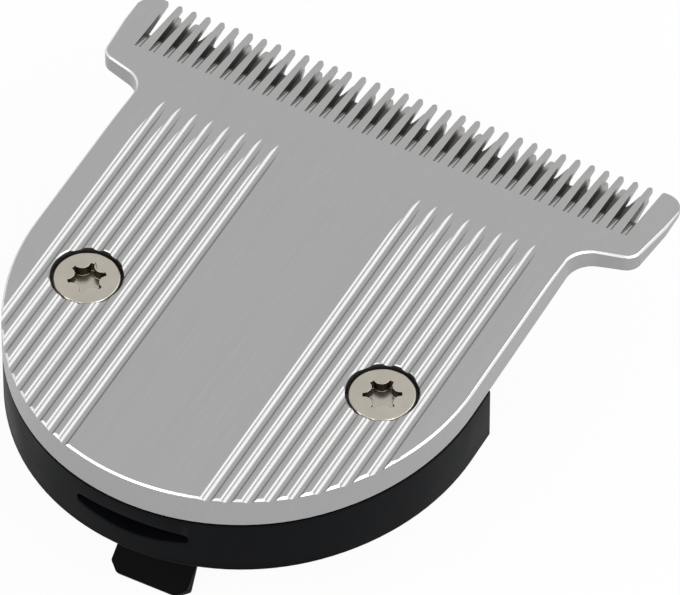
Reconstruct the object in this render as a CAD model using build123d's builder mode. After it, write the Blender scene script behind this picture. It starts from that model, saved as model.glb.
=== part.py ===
from build123d import *
import math
import os

os.makedirs("parts", exist_ok=True)

# Hair clipper blade cartridge: a T blade on its plastic base.
# Millimetres. +Z leaves the grooved face, +Y points to the teeth, +X to the right as seen from the rear.
# The origin is on the seat face of the base, midway between the two screws.

# comb blade outline and section
t_width = 40.0
tip_reach = 25.15
rear_reach = 14.3
rear_tuck = 0.55
rear_shift = 1.4
wing_overhang = 4.05
wing_taper = 0.4
wing_length = 7.95
wing_rise = 1.1
wing_side_length = 3.15
neck_radius = 1.9
wing_rear_radius = 1.1
wing_corner = 1.3
wing_corner_bulge = 0.35
rear_thickness = 2.34
slope_thickness = 1.84
tip_thickness = 0.31
slope_length = 10.85
slope_blend = 40.0
top_edge_chamfer = 0.13

# comb teeth
comb_teeth = 34
comb_end_width = 2.1
slot_length = 5.1
slot_width = 0.42
slot_ramp = 2.1
slot_run_in = 1.3
slot_run_in_depth = 0.4
comb_tip_width = 0.36
comb_tip_flat = 0.14
comb_tip_taper = 0.14

# grooves of the grip face
grooves_per_side = 8
groove_pitch = 1.2
groove_margin = 2.35
groove_radius = 0.42
groove_sweep = 55.0
groove_lip = 0.12
groove_lip_drop = 0.065

# screws, their holes and the threaded inserts
screw_inset = 5.2
head_diameter = 4.5
head_height = 1.05
head_recess = 0.29
head_edge = 0.12
head_clearance = 0.16
hole_chamfer = 0.1
thread_diameter = 2.5
thread_clearance = 0.15
thread_end_gap = 0.3
star_points = 6
star_tip_radius = 1.27
star_core_radius = 0.84
star_valley_radius = 0.55
star_depth = 0.7
left_star_turn = -19.0
right_star_turn = 29.0
insert_diameter = 4.0
insert_floor = 0.6
seat_clearance = 0.02

# base
seat_height = 4.5
base_front = 5.1
base_wall = 1.8
base_roof = 1.6
shadow_step = 0.25
rib_thickness = 1.0
rib_spacing = 15.0
boss_wall = 1.5
nail_recess_width = 8.0
nail_recess_end = 0.65
nail_recess_rise = 0.2
nail_recess_sag = 0.48
nail_recess_depth = 1.2
nail_recess_drop = 2.0

# hook under the rear of the base
hook_width = 5.55
hook_inset = 3.7
hook_thickness = 0.8
hook_reach = 1.7
hook_bend_rise = 1.9
hook_nose_rise = 0.5
hook_lip = 0.3
hook_toe = 0.9
hook_heel = 0.6
hook_corner = 0.62

# spigot around the drive window
spigot_depth = 6.0
spigot_wall = 1.6
spigot_corner = 2.0
spigot_lead = 0.6
window_side_gap = 0.35
window_front_gap = 0.8
latch_width = 5.0
latch_height = 0.5
latch_drop = 3.6

# cutter blade
stroke = 1.3
cutter_teeth = 27
cutter_pitch_ratio = 1.25
cutter_setback = 0.68
cutter_tooth_length = 1.32
cutter_depth = 5.47
cutter_bevel_length = 3.87
cutter_thickness = 0.9
cutter_tip_thickness = 0.35
cutter_tip_width = 0.4
cutter_tip_flat = 0.18
cutter_tip_taper = 0.16
cutter_gullet_width = 0.46
cutter_gullet_root = 0.2
cutter_end_margin = 0.45
cutter_gap = 0.02
tongue_width = 11.0
tongue_corner = 1.0

# drive carriage
peg_y = 12.0
peg_diameter = 2.0
peg_spacing = 7.0
peg_margin = 2.0
carriage_front_margin = 4.0
carriage_rear_margin = 1.4
carriage_plate = 1.2
carriage_corner = 1.2
drive_slot_width = 3.0
drive_slot_reach = 1.4
yoke_wall = 1.2
yoke_depth = 3.4

# pressure spring
wire_diameter = 0.7
spring_bridge_y = 1.4
spring_tip_inset = 2.0
spring_bend = 1.0
spring_gap = 0.04
spring_side_gap = 0.25
saddle_width = 2.4
saddle_wall = 0.8

# cuts run past the faces that they open by this much, and edges are picked to within the second size
past = 1.0
close_by = 0.01

# places that follow from the sizes above
body_width = t_width - 2 * wing_overhang
half_width = body_width / 2
rear_radius = half_width - rear_tuck
rear_centre_y = rear_radius - rear_reach
side_radius = (half_width**2 + rear_shift**2 - rear_radius**2) / (2 * rear_tuck)
side_centre_x = half_width - side_radius
side_centre_y = rear_centre_y + rear_shift
side_sweep = math.degrees(math.atan2(rear_shift, -side_centre_x))
wing_neck = tip_reach - wing_length
slope_start = tip_reach - slope_length
slot_start = tip_reach - slot_length
plate_z = seat_height
roof_z = seat_height - base_roof
tip_z = plate_z + tip_thickness
crease_z = plate_z + slope_thickness
rear_z = plate_z + rear_thickness
face_slope = (rear_z - crease_z) / (slope_start + rear_reach)
front_slope = (crease_z - tip_z) / slope_length
slot_top = tip_z + front_slope * slot_length
comb_pitch = (t_width - 2 * comb_end_width) / comb_teeth
slot_positions = [(k - comb_teeth / 2) * comb_pitch for k in range(comb_teeth + 1)]
groove_outer_x = body_width / 2 - groove_margin
groove_positions = [groove_outer_x - k * groove_pitch for k in range(grooves_per_side)]
screw_spacing = body_width - 2 * screw_inset
screw_x = screw_spacing / 2
face_at_screws = crease_z + face_slope * slope_start
head_top = face_at_screws - head_recess
head_seat = head_top - head_height
screw_end = insert_floor + thread_end_gap
cutter_tip_reach = tip_reach - cutter_setback
cutter_root = cutter_tip_reach - cutter_tooth_length
cutter_rear = cutter_tip_reach - cutter_depth
cutter_top = plate_z - cutter_gap
cutter_under = cutter_top - cutter_thickness
cutter_pitch = comb_pitch * cutter_pitch_ratio
cutter_half = (cutter_teeth - 1) / 2 * cutter_pitch + cutter_end_margin
gullet_positions = [(k + 1 - cutter_teeth / 2) * cutter_pitch for k in range(cutter_teeth - 1)]
tongue_rear = peg_y - peg_margin
carriage_under = cutter_under - carriage_plate
carriage_front = peg_y + carriage_front_margin
carriage_rear = tongue_rear - carriage_rear_margin
yoke_width = drive_slot_width + 2 * yoke_wall
drive_slot_end = peg_y + drive_slot_reach
yoke_front = drive_slot_end + yoke_wall
spring_arm_x = yoke_width / 2 + stroke + spring_side_gap + wire_diameter / 2
spring_tip_y = carriage_front - spring_tip_inset
wire_z = carriage_under - spring_gap - wire_diameter / 2
carriage_width = 2 * (spring_arm_x + wire_diameter / 2 + stroke)
window_width = carriage_width + 2 * (stroke + window_side_gap)
spigot_width = window_width + 2 * spigot_wall
spigot_rear = base_front - base_wall
spigot_front = yoke_front + window_front_gap + spigot_wall
spigot_middle = (spigot_front + spigot_rear) / 2
hook_back = hook_inset - rear_reach
hook_front = hook_back + hook_thickness
hook_nose = hook_back - hook_reach


def d_outline(inset, front):
    """The D shape that the blade and the base share, moved in by inset and cut off at a straight front edge."""
    half = half_width - inset
    with BuildSketch() as outline:
        with BuildLine():
            CenterArc((side_centre_x, side_centre_y), side_radius - inset, -side_sweep, side_sweep)
            CenterArc((0, rear_centre_y), rear_radius - inset, 180 + side_sweep, 180 - 2 * side_sweep)
            CenterArc((-side_centre_x, side_centre_y), side_radius - inset, 180, side_sweep)
            Polyline((half, side_centre_y), (half, tip_reach), (-half, tip_reach), (-half, side_centre_y))
        make_face()
        with Locations((0, front)):
            Rectangle(t_width, tip_reach, align=(Align.CENTER, Align.MIN), mode=Mode.SUBTRACT)
    return outline.sketch


# one gap between two comb teeth: narrow at the rear, wide and bevelled where the tips end
tip_gap = (comb_pitch - comb_tip_width) / 2
tip_mouth = (comb_pitch - comb_tip_flat) / 2
with BuildPart() as tooth_gap:
    with BuildSketch(Plane.XY.offset(plate_z - past)):
        with BuildLine():
            right_side = Polyline(
                (0, slot_start - past),
                (slot_width / 2, slot_start - past),
                (slot_width / 2, slot_start),
                (tip_gap, tip_reach - comb_tip_taper),
                (tip_mouth, tip_reach),
                (tip_mouth, tip_reach + past),
                (0, tip_reach + past),
            )
            mirror(right_side, about=Plane.YZ)
        make_face()
    extrude(amount=rear_thickness + 2 * past)
    # the grinding wheel leaves a ramp at the rear end of each gap: a flat run in, then a steeper fall
    run_in_rate = slot_run_in_depth / slot_run_in
    ramp_rate = (slot_top - slot_run_in_depth - plate_z) / (slot_ramp - slot_run_in)
    with BuildSketch(Plane.YZ):
        with BuildLine():
            Polyline(
                (slot_start - past, slot_top + run_in_rate * past),
                (slot_start + slot_run_in, slot_top - slot_run_in_depth),
                (slot_start + slot_ramp + past, plate_z - ramp_rate * past),
                (tip_reach + past, plate_z - ramp_rate * past),
                (tip_reach + past, slot_top + run_in_rate * past),
                close=True,
            )
        make_face()
    extrude(amount=comb_pitch, both=True, mode=Mode.INTERSECT)

with BuildPart() as comb_blade:
    # rear half: its wall stands square to the grooved face
    with BuildSketch(Plane(origin=(0, 0, face_at_screws), x_dir=(1, 0, 0), z_dir=(0, face_slope, 1))):
        add(d_outline(0, wing_neck - neck_radius))
    extrude(amount=rear_thickness + past, both=True)
    # front half with the wings, drawn as its right side
    with BuildSketch(Plane.XY.offset(plate_z)) as wings:
        with BuildLine():
            Polyline(
                (t_width / 2 - wing_corner, tip_reach),
                (0, tip_reach),
                (0, side_centre_y),
                (half_width, side_centre_y),
                (half_width, wing_neck),
                (t_width / 2 - wing_taper, wing_neck + wing_rise),
                (t_width / 2, tip_reach - wing_side_length),
                (t_width / 2, tip_reach - wing_corner),
            )
            SagittaArc(
                (t_width / 2, tip_reach - wing_corner), (t_width / 2 - wing_corner, tip_reach), wing_corner_bulge
            )
        make_face()
        neck = wings.vertices().filter_by(lambda v: abs(v.Y - wing_neck) < close_by)
        fillet(neck, neck_radius)
        wing_rear = wings.vertices().filter_by(lambda v: abs(v.Y - wing_neck - wing_rise) < close_by)
        fillet(wing_rear, wing_rear_radius)
        mirror(about=Plane.YZ)
    extrude(amount=rear_thickness + past)
    # side profile: a slight wedge that falls faster towards the tips
    with BuildSketch(Plane.YZ) as side_profile:
        with BuildLine():
            Polyline(
                (-rear_reach - past, plate_z),
                (tip_reach, plate_z),
                (tip_reach, tip_z),
                (slope_start, crease_z),
                (-rear_reach - past, rear_z + face_slope * past),
                close=True,
            )
        make_face()
        crease = side_profile.vertices().filter_by(lambda v: abs(v.X - slope_start) < close_by)
        fillet(crease, slope_blend)
    extrude(amount=t_width, both=True, mode=Mode.INTERSECT)
    # the top edge is broken all round, apart from the thin front edge
    rim = comb_blade.edges().filter_by(
        lambda e: e.bounding_box().min.Z > tip_z - close_by
        and e.bounding_box().max.Y < tip_reach - wing_corner / 2
        and e.bounding_box().size.Y > close_by
    )
    chamfer(rim, top_edge_chamfer)
    # lengthwise grooves, which run out where the face starts to fall
    groove_plane = Plane(
        origin=(0, -rear_reach - past, rear_z + face_slope * past),
        x_dir=(1, 0, 0),
        z_dir=(0, -1, face_slope),
    )
    # each groove is a shallow arc between two sloped lips; the lips are drawn on to as far above the face
    arc_x = groove_radius * math.sin(math.radians(groove_sweep))
    arc_rise = groove_radius * math.cos(math.radians(groove_sweep))
    with BuildSketch(Plane.XY, mode=Mode.PRIVATE) as groove_section:
        with BuildLine():
            CenterArc((0, arc_rise - groove_lip_drop), groove_radius, 270 - groove_sweep, 2 * groove_sweep)
            Polyline(
                (arc_x, -groove_lip_drop),
                (arc_x + 2 * groove_lip, groove_lip_drop),
                (-arc_x - 2 * groove_lip, groove_lip_drop),
                (-arc_x, -groove_lip_drop),
            )
        make_face()
    with BuildSketch(groove_plane):
        for x in groove_positions:
            with Locations((x, 0), (-x, 0)):
                add(groove_section.sketch)
    extrude(amount=-rear_reach - slot_start, mode=Mode.SUBTRACT)
    # counterbored screw holes
    with BuildSketch(Plane.XY.offset(head_seat)):
        with GridLocations(screw_spacing, 1, 2, 1):
            Circle(head_diameter / 2 + head_clearance)
    extrude(amount=rear_thickness, mode=Mode.SUBTRACT)
    with BuildSketch(Plane.XY.offset(plate_z - past)):
        with GridLocations(screw_spacing, 1, 2, 1):
            Circle(thread_diameter / 2 + thread_clearance)
    extrude(amount=rear_thickness + past, mode=Mode.SUBTRACT)
    # the rims of the counterbores are broken; the face is tilted, so the tool stands above it
    bore_radius = head_diameter / 2 + head_clearance
    with Locations((0, 0, face_at_screws - hole_chamfer)):
        with GridLocations(screw_spacing, 1, 2, 1):
            Cone(
                bore_radius,
                bore_radius + past,
                past,
                align=(Align.CENTER, Align.CENTER, Align.MIN),
                mode=Mode.SUBTRACT,
            )
    # the gaps between the teeth
    with Locations(*[(x, 0, 0) for x in slot_positions]):
        add(tooth_gap.part, mode=Mode.SUBTRACT)

comb_blade.part.label = "comb_blade"
export_step(comb_blade.part, "parts/comb_blade.step")


with BuildPart() as cutter_blade:
    with BuildSketch(Plane.XY.offset(cutter_under)) as cutter_outline:
        with Locations((0, cutter_rear)):
            Rectangle(2 * cutter_half, cutter_depth, align=(Align.CENTER, Align.MIN))
            Rectangle(tongue_width, cutter_rear - tongue_rear, align=(Align.CENTER, Align.MAX))
        corners = cutter_outline.vertices().filter_by(lambda v: v.Y < cutter_rear + close_by)
        fillet(corners, tongue_corner)
        # gullets between the cutting teeth
        gullet_side = (cutter_pitch - cutter_tip_width) / 2
        gullet_mouth = (cutter_pitch - cutter_tip_flat) / 2
        with BuildLine(mode=Mode.PRIVATE) as gullet:
            gullet_right = Polyline(
                (0, 0),
                (cutter_gullet_root / 2, 0),
                (cutter_gullet_width / 2, cutter_gullet_width / 2),
                (gullet_side, cutter_tooth_length - cutter_tip_taper),
                (gullet_mouth, cutter_tooth_length),
                (gullet_mouth, cutter_tooth_length + past),
                (0, cutter_tooth_length + past),
            )
            mirror(gullet_right, about=Plane.YZ)
        with Locations(*[(x, cutter_root) for x in gullet_positions]):
            add(make_face(gullet.edges(), mode=Mode.PRIVATE), mode=Mode.SUBTRACT)
    extrude(amount=cutter_thickness)
    # the cutting edge is ground thin from below
    with BuildSketch(Plane.YZ):
        with BuildLine():
            Polyline(
                (tongue_rear - past, cutter_under),
                (cutter_tip_reach - cutter_bevel_length, cutter_under),
                (cutter_tip_reach, cutter_top - cutter_tip_thickness),
                (cutter_tip_reach, cutter_top),
                (tongue_rear - past, cutter_top),
                close=True,
            )
        make_face()
    extrude(amount=cutter_half + past, both=True, mode=Mode.INTERSECT)
    # holes that take the pegs of the carriage
    with BuildSketch(Plane.XY.offset(cutter_under)):
        with Locations((0, peg_y)):
            with GridLocations(peg_spacing, 1, 2, 1):
                Circle(peg_diameter / 2 + seat_clearance)
    extrude(amount=cutter_thickness, mode=Mode.SUBTRACT)

cutter_blade.part.label = "cutter_blade"
export_step(cutter_blade.part, "parts/cutter_blade.step")


with BuildPart() as drive_carriage:
    # plate under the tongue of the cutter
    with BuildSketch(Plane.XY.offset(carriage_under)):
        with Locations((0, (carriage_front + carriage_rear) / 2)):
            RectangleRounded(carriage_width, carriage_front - carriage_rear, carriage_corner)
    extrude(amount=carriage_plate)
    # fork that the drive pin turns in, open to the rear
    with BuildSketch(Plane.XY.offset(carriage_under - yoke_depth)):
        with Locations((0, (yoke_front + carriage_rear) / 2)):
            RectangleRounded(yoke_width, yoke_front - carriage_rear, yoke_wall / 2)
        with Locations((0, drive_slot_end - drive_slot_width / 2)):
            Circle(drive_slot_width / 2, mode=Mode.SUBTRACT)
            Rectangle(
                drive_slot_width,
                drive_slot_end - carriage_rear,
                align=(Align.CENTER, Align.MAX),
                mode=Mode.SUBTRACT,
            )
    extrude(amount=yoke_depth)
    # pegs staked into the cutter
    with BuildSketch(Plane.XY.offset(cutter_under)):
        with Locations((0, peg_y)):
            with GridLocations(peg_spacing, 1, 2, 1):
                Circle(peg_diameter / 2)
    extrude(amount=cutter_thickness - cutter_gap)

drive_carriage.part.label = "drive_carriage"
export_step(drive_carriage.part, "parts/drive_carriage.step")


with BuildPart() as pressure_spring:
    with BuildLine():
        Polyline(
            (spring_arm_x, spring_tip_y, wire_z),
            (spring_arm_x, spring_bridge_y + spring_bend, wire_z),
            (spring_arm_x - spring_bend, spring_bridge_y, wire_z),
            (spring_bend - spring_arm_x, spring_bridge_y, wire_z),
            (-spring_arm_x, spring_bridge_y + spring_bend, wire_z),
            (-spring_arm_x, spring_tip_y, wire_z),
        )
    with BuildSketch(Plane(origin=(spring_arm_x, spring_tip_y, wire_z), z_dir=(0, -1, 0))):
        Circle(wire_diameter / 2)
    sweep(transition=Transition.RIGHT)

pressure_spring.part.label = "pressure_spring"
export_step(pressure_spring.part, "parts/pressure_spring.step")


with BuildPart() as base:
    # D shaped body, flush with the rear half of the comb blade
    with BuildSketch(Plane.XY):
        add(d_outline(0, base_front))
    extrude(amount=seat_height - shadow_step)
    # a low step round its top leaves a shadow line under the blade
    with BuildSketch(Plane.XY.offset(seat_height - shadow_step)):
        add(d_outline(shadow_step, base_front - shadow_step))
    extrude(amount=shadow_step)
    # hollow underneath, between an outer wall and a roof
    with BuildSketch(Plane.XY):
        add(d_outline(base_wall, base_front - base_wall))
    extrude(amount=roof_z, mode=Mode.SUBTRACT)
    # bosses for the threaded inserts and ribs that stiffen the roof
    with BuildSketch(Plane.XY):
        with GridLocations(screw_spacing, 1, 2, 1):
            Circle(insert_diameter / 2 + boss_wall)
        with GridLocations(rib_spacing, 1, 2, 1):
            Rectangle(rib_thickness, 2 * rear_reach)
        Rectangle(body_width, rib_thickness)
        add(d_outline(base_wall / 2, base_front - base_wall / 2), mode=Mode.INTERSECT)
    extrude(amount=roof_z)
    # spigot that locates the front in the clipper head
    with BuildSketch(Plane.XY.offset(-spigot_depth)):
        with Locations((0, spigot_middle)):
            RectangleRounded(spigot_width, spigot_front - spigot_rear, spigot_corner)
    extrude(amount=spigot_depth + seat_height)
    spigot_foot = base.faces().sort_by(Axis.Z)[0].outer_wire().edges()
    chamfer(spigot_foot, spigot_lead)
    # drive window, open from below and above
    with BuildSketch(Plane.XY.offset(-spigot_depth)):
        with Locations((0, spigot_middle)):
            Rectangle(window_width, spigot_front - spigot_rear - 2 * spigot_wall)
    extrude(amount=spigot_depth + seat_height, mode=Mode.SUBTRACT)
    # the front wall stays below the tongue of the cutter and the carriage
    with BuildSketch(Plane.XY.offset(carriage_under - 2 * spring_gap)):
        with Locations((0, spigot_front + past)):
            Rectangle(window_width, spigot_wall + 2 * past, align=(Align.CENTER, Align.MAX))
    extrude(amount=seat_height, mode=Mode.SUBTRACT)
    # latch ridges on both sides of the spigot
    with BuildSketch(Plane.XZ.offset(-spigot_middle)):
        for side in (-1, 1):
            with BuildLine():
                Polyline(
                    (side * (spigot_width / 2 - latch_height), 2 * latch_height - latch_drop),
                    (side * spigot_width / 2, 2 * latch_height - latch_drop),
                    (side * (spigot_width / 2 + latch_height), -latch_drop),
                    (side * spigot_width / 2, -2 * latch_height - latch_drop),
                    (side * (spigot_width / 2 - latch_height), -2 * latch_height - latch_drop),
                    close=True,
                )
            make_face()
    extrude(amount=latch_width / 2, both=True)
    # hook under the rear
    with BuildSketch(Plane.YZ):
        with BuildLine():
            Polyline(
                (hook_front, roof_z),
                (hook_back, roof_z),
                (hook_back, hook_bend_rise - spigot_depth),
                (hook_nose, hook_nose_rise - spigot_depth),
                (hook_nose + hook_lip, -spigot_depth),
                (hook_nose + hook_lip + hook_toe, -spigot_depth),
                (hook_front, hook_bend_rise + hook_heel - spigot_depth),
                close=True,
            )
        make_face()
    extrude(amount=hook_width / 2, both=True)
    nose_corners = base.edges().filter_by(
        lambda e: abs(abs(e.center().X) - hook_width / 2) < close_by
        and e.center().Y < hook_nose + hook_lip
        and e.center().Z < hook_nose_rise - spigot_depth
    )
    chamfer(nose_corners, hook_corner)
    # pockets for the threaded inserts
    with BuildSketch(Plane.XY.offset(insert_floor)):
        with GridLocations(screw_spacing, 1, 2, 1):
            Circle(insert_diameter / 2 + seat_clearance)
    extrude(amount=seat_height, mode=Mode.SUBTRACT)
    # nail recess in the rear wall: a lens with blunt ends, fuller below than above
    recess_half = nail_recess_width / 2
    recess_top = seat_height - nail_recess_drop + nail_recess_end / 2
    recess_foot = recess_top - nail_recess_end
    with BuildSketch(Plane.XZ.offset(rear_reach + past)):
        with BuildLine():
            SagittaArc((-recess_half, recess_top), (recess_half, recess_top), nail_recess_rise)
            Line((recess_half, recess_top), (recess_half, recess_foot))
            SagittaArc((recess_half, recess_foot), (-recess_half, recess_foot), nail_recess_sag)
            Line((-recess_half, recess_foot), (-recess_half, recess_top))
        make_face()
    extrude(amount=-nail_recess_depth - past, mode=Mode.SUBTRACT)
    # saddle that holds the bridge of the spring, and ways for its arms
    saddle_radius = wire_diameter / 2 + seat_clearance
    with BuildSketch(Plane.YZ):
        with Locations((spring_bridge_y, wire_z)):
            Circle(saddle_radius + saddle_wall)
            Rectangle(2 * (saddle_radius + saddle_wall), roof_z - wire_z, align=(Align.CENTER, Align.MIN))
    extrude(amount=saddle_width / 2, both=True)
    with BuildSketch(Plane.YZ):
        with Locations((spring_bridge_y, wire_z)):
            Circle(saddle_radius)
    extrude(amount=spring_arm_x - spring_bend, both=True, mode=Mode.SUBTRACT)
    with BuildSketch(Plane.XY.offset(wire_z - wire_diameter)):
        with Locations((0, spring_bridge_y - wire_diameter)):
            with GridLocations(2 * spring_arm_x, 1, 2, 1):
                Rectangle(
                    2 * wire_diameter,
                    spring_tip_y - spring_bridge_y + 2 * wire_diameter,
                    align=(Align.CENTER, Align.MIN),
                )
    extrude(amount=2 * wire_diameter, mode=Mode.SUBTRACT)

base.part.label = "base"
export_step(base.part, "parts/base.step")


# the two screws, with a star drive, and the inserts that they are driven into
for name, side, star_turn in (("left", -1, left_star_turn), ("right", 1, right_star_turn)):
    axis_x = side * screw_x
    with BuildPart() as screw:
        with BuildSketch(Plane(origin=(axis_x, 0, 0), x_dir=(1, 0, 0), z_dir=(0, -1, 0))):
            with BuildLine():
                Polyline(
                    (0, head_top),
                    (head_diameter / 2 - head_edge, head_top),
                    (head_diameter / 2, head_top - head_edge),
                    (head_diameter / 2, head_seat),
                    (thread_diameter / 2, head_seat),
                    (thread_diameter / 2, screw_end + head_edge),
                    (thread_diameter / 2 - head_edge, screw_end),
                    (0, screw_end),
                    close=True,
                )
            make_face()
        revolve(axis=Axis((axis_x, 0, 0), (0, 0, 1)))
        with BuildSketch(Plane(origin=(axis_x, 0, head_top))):
            Circle(star_tip_radius)
            valley_turn = star_turn + 180 / star_points
            with PolarLocations(star_core_radius + star_valley_radius, star_points, start_angle=valley_turn):
                Circle(star_valley_radius, mode=Mode.SUBTRACT)
        extrude(amount=-star_depth, mode=Mode.SUBTRACT)
    screw.part.label = name + "_screw"
    export_step(screw.part, "parts/" + name + "_screw.step")

    with BuildPart() as insert:
        with BuildSketch(Plane(origin=(axis_x, 0, insert_floor))):
            Circle(insert_diameter / 2)
            Circle(thread_diameter / 2 + seat_clearance, mode=Mode.SUBTRACT)
        extrude(amount=seat_height - insert_floor)
    insert.part.label = name + "_insert"
    export_step(insert.part, "parts/" + name + "_insert.step")
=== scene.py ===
import math
from bisect import bisect_right

import bmesh
import bpy
from bpy.props import FloatProperty, FloatVectorProperty, IntProperty, PointerProperty
from mathutils import Matrix, Vector


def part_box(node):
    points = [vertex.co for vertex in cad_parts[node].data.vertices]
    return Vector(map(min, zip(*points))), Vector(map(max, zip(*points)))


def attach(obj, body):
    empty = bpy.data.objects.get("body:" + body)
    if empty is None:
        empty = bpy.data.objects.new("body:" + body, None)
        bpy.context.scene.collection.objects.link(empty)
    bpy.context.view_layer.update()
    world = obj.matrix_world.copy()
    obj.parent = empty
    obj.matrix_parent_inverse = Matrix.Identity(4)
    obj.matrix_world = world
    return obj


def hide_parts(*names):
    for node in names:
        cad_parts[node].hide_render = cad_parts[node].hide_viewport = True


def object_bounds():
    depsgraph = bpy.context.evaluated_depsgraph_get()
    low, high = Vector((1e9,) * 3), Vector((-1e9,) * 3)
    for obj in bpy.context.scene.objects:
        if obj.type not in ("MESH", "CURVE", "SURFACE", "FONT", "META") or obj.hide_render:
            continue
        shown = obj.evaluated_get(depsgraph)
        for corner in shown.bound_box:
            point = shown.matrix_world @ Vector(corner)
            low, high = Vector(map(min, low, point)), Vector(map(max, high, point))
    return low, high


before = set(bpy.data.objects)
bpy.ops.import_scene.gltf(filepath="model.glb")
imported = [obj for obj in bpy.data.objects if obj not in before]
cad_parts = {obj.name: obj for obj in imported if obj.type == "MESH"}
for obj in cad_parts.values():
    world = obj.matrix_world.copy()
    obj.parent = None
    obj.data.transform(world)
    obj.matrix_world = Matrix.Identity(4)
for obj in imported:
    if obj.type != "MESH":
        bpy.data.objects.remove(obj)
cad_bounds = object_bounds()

bl_info = {
    "name": "Clipper Blade Dresser",
    "version": (1, 0, 0),
    "blender": (4, 5, 0),
    "location": "3D View > Sidebar > Blade",
    "description": "Gives the solids of a hair clipper blade their edges, finishes, light and camera",
    "category": "Object",
}

MM = 0.001
MERGE = 0.0005 * MM
BODY_HOLDER = "holder"
BODY_CUTTER = "cutter"

# Places on the solids
SCREW_AXIS = Vector(((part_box("right_screw")[0][0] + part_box("right_screw")[1][0]) / 2, 0.0))
SCREW_HOLE = 2.75 * MM
STAR_RADIUS = 1.4 * MM
STAR_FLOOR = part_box("right_screw")[1][2] - 0.71 * MM
COMB_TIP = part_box("comb_blade")[1][1]
COMB_PITCH = 35.8 / 34 * MM
COMB_END = 18.9 * MM
GROOVES_FROM = 4.4 * MM
GROOVES_TO = 14.4 * MM
GROUND_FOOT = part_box("comb_blade")[0][2] + 1.0 * MM
WING_CORNER = 1.3 * MM
SLOT_REAR = COMB_TIP - 5.2 * MM
SLOT_FRONT = COMB_TIP - 0.3 * MM
RECESS_HALF = 4.0 * MM
RECESS_DEPTH = 2.0 * MM
RECESS_FOOT = 1.0 * MM
RECESS_EDGE = 0.5 * MM
RECESS_SLACK = 0.05 * MM

# Where shade starts and is full, along Y behind the tips, across the run in of a slot, and on the hook
TIP_SHADE = (COMB_TIP - 1.15 * MM, COMB_TIP - 1.75 * MM)
RUN_IN_SHADE = (0.09 * MM, 0.14 * MM)
RUN_IN_LENGTH = 1.9 * MM
RUN_IN_NARROWING = 0.12 * MM
HOOK_SHADE_Z = (0.9 * MM, -0.4 * MM)
HOOK_SHADE_Y = (-8.0 * MM, -9.5 * MM)

# What tells faces and edges apart: parts of a face's normal, Z if not named, and degrees between two faces
WALL = 0.3
CHAMFER = (0.6, 0.8)
GROUND = 0.95
TOP = 0.9
LEVEL_X = 0.005
REAR_Y = -0.25
RUN_IN = (0.3, 0.97)
CUTTER_TOP = 0.7
TOOTH_ANGLE = 18.0
RIM_ANGLES = (30.0, 60.0)
SHARP_ANGLE = 12.0
ROUNDED_ANGLE = 28.0
WIRE_END_ANGLE = 60.0

WIRE_END_EDGE = 0.08 * MM
FLOOR_GAP = 0.02 * MM
FLOOR_HALF = 1.5
LAMP_DISTANCE = 0.60


# Settings that a user would change

class BladeEdgeSettings(bpy.types.PropertyGroup):
    """How far each piece's edges are rounded."""

    rim_edge: FloatProperty(
        name="Rim Edge", description="Rounding of the edges of the comb blade's broken rim",
        default=0.03 * MM, min=0.0, subtype="DISTANCE", unit="LENGTH", precision=5)
    tooth_edge: FloatProperty(
        name="Tooth Edge", description="Rounding of the comb blade's teeth",
        default=0.025 * MM, min=0.0, subtype="DISTANCE", unit="LENGTH", precision=5)
    cutter_edge: FloatProperty(
        name="Cutter Edge", description="Rounding of the cutter's edges",
        default=0.02 * MM, min=0.0, subtype="DISTANCE", unit="LENGTH", precision=5)
    screw_edge: FloatProperty(
        name="Screw Edge", description="Rounding of the screw head and of its star recess",
        default=0.04 * MM, min=0.0, subtype="DISTANCE", unit="LENGTH", precision=5)
    base_edge: FloatProperty(
        name="Base Edge", description="Rounding of the moulded base's edges",
        default=0.1 * MM, min=0.0, subtype="DISTANCE", unit="LENGTH", precision=5)
    recess_end: FloatProperty(
        name="Recess End", description="Rounding of the nail recess at its two ends",
        default=0.28 * MM, min=0.0, subtype="DISTANCE", unit="LENGTH", precision=5)
    carriage_edge: FloatProperty(
        name="Carriage Edge", description="Rounding of the drive carriage's edges",
        default=0.07 * MM, min=0.0, subtype="DISTANCE", unit="LENGTH", precision=5)
    wire_bend: FloatProperty(
        name="Wire Bend", description="Radius of the spring wire's bends",
        default=1.0 * MM, min=0.1 * MM, subtype="DISTANCE", unit="LENGTH", precision=5)
    wire_sides: IntProperty(
        name="Wire Sides", description="Number of sides of the spring wire",
        default=20, min=8, max=64)


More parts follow.
